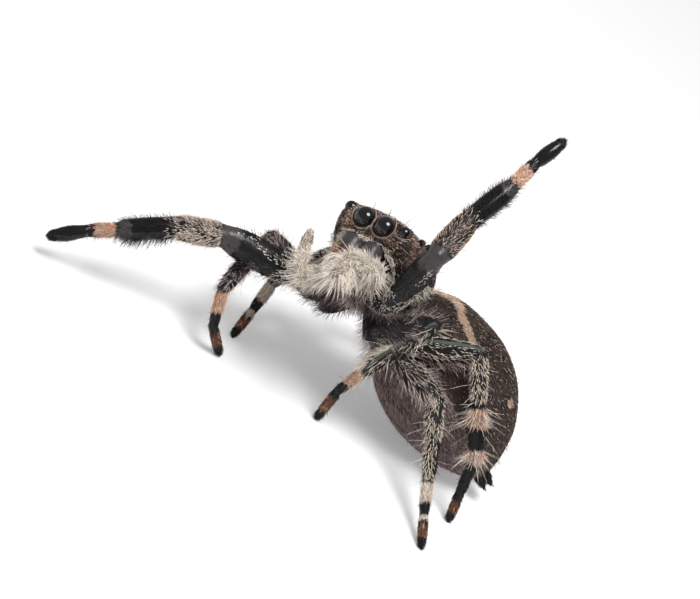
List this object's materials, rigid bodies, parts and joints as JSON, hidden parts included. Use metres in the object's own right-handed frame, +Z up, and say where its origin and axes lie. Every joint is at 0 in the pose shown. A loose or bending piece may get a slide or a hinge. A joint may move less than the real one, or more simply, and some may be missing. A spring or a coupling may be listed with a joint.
{
  "type": "jumping spider",
  "caption": "Life-size adult jumping spider, grey and black with pale and salmon leg bands, rearing with its front legs raised.",
  "frame": {"origin": "middle of the model's box, on the floor under it", "axes": "+Z up; the head faces -Y and the spider's left side is +X; the abdomen lies towards +Y and is swung to +X"},
  "size_m": [0.0144, 0.02, 0.0146],
  "materials": {
    "head_coat": "short grey-brown scales over dark cuticle",
    "abdomen_coat": "short dark scales with pale flecks and a salmon basal band",
    "dark_coat": "dark hairy cuticle with a soft sheen",
    "cream_coat": "pale hairs over dark cuticle",
    "orange_band": "salmon scales with dark rings",
    "eye": "polished black",
    "fang": "dark red-brown, glossy"
  },
  "bodies": {
    "root": {"carapace": "head_coat", "eye_front_middle_left": "eye", "eye_front_middle_right": "eye", "eye_front_side_left": "eye", "eye_front_side_right": "eye", "eye_small_left": "eye", "eye_small_right": "eye", "eye_rear_left": "eye", "eye_rear_right": "eye", "chelicera_left": "dark_coat", "chelicera_right": "dark_coat", "fang_left": "fang", "fang_right": "fang", "sternum": "dark_coat", "pedipalp_left": "cream_coat", "pedipalp_right": "cream_coat", "pedicel": "dark_coat", "abdomen": "abdomen_coat", "spinnerets": "dark_coat", "leg1_left_femur": "dark_coat", "leg1_left_patella": "dark_coat", "leg1_left_tibia": "dark_coat", "leg1_left_metatarsus": "orange_band", "leg1_left_tarsus": "dark_coat", "leg1_right_femur": "dark_coat", "leg1_right_patella": "dark_coat", "leg1_right_tibia": "dark_coat", "leg1_right_metatarsus": "orange_band", "leg1_right_tarsus": "dark_coat", "leg2_left_femur": "dark_coat", "leg2_left_patella": "cream_coat", "leg2_left_tibia": "dark_coat", "leg2_left_metatarsus": "orange_band", "leg2_left_tarsus": "dark_coat", "leg2_right_femur": "dark_coat", "leg2_right_patella": "cream_coat", "leg2_right_tibia": "dark_coat", "leg2_right_metatarsus": "orange_band", "leg2_right_tarsus": "dark_coat", "leg3_left_femur": "dark_coat", "leg3_left_patella": "cream_coat", "leg3_left_tibia": "dark_coat", "leg3_left_metatarsus": "orange_band", "leg3_left_tarsus": "dark_coat", "leg3_right_femur": "dark_coat", "leg3_right_patella": "cream_coat", "leg3_right_tibia": "dark_coat", "leg3_right_metatarsus": "orange_band", "leg3_right_tarsus": "dark_coat", "leg4_left_femur": "dark_coat", "leg4_left_patella": "cream_coat", "leg4_left_tibia": "dark_coat", "leg4_left_metatarsus": "orange_band", "leg4_left_tarsus": "dark_coat", "leg4_right_femur": "dark_coat", "leg4_right_patella": "cream_coat", "leg4_right_tibia": "dark_coat", "leg4_right_metatarsus": "orange_band", "leg4_right_tarsus": "dark_coat"}
  },
  "joints": []
}
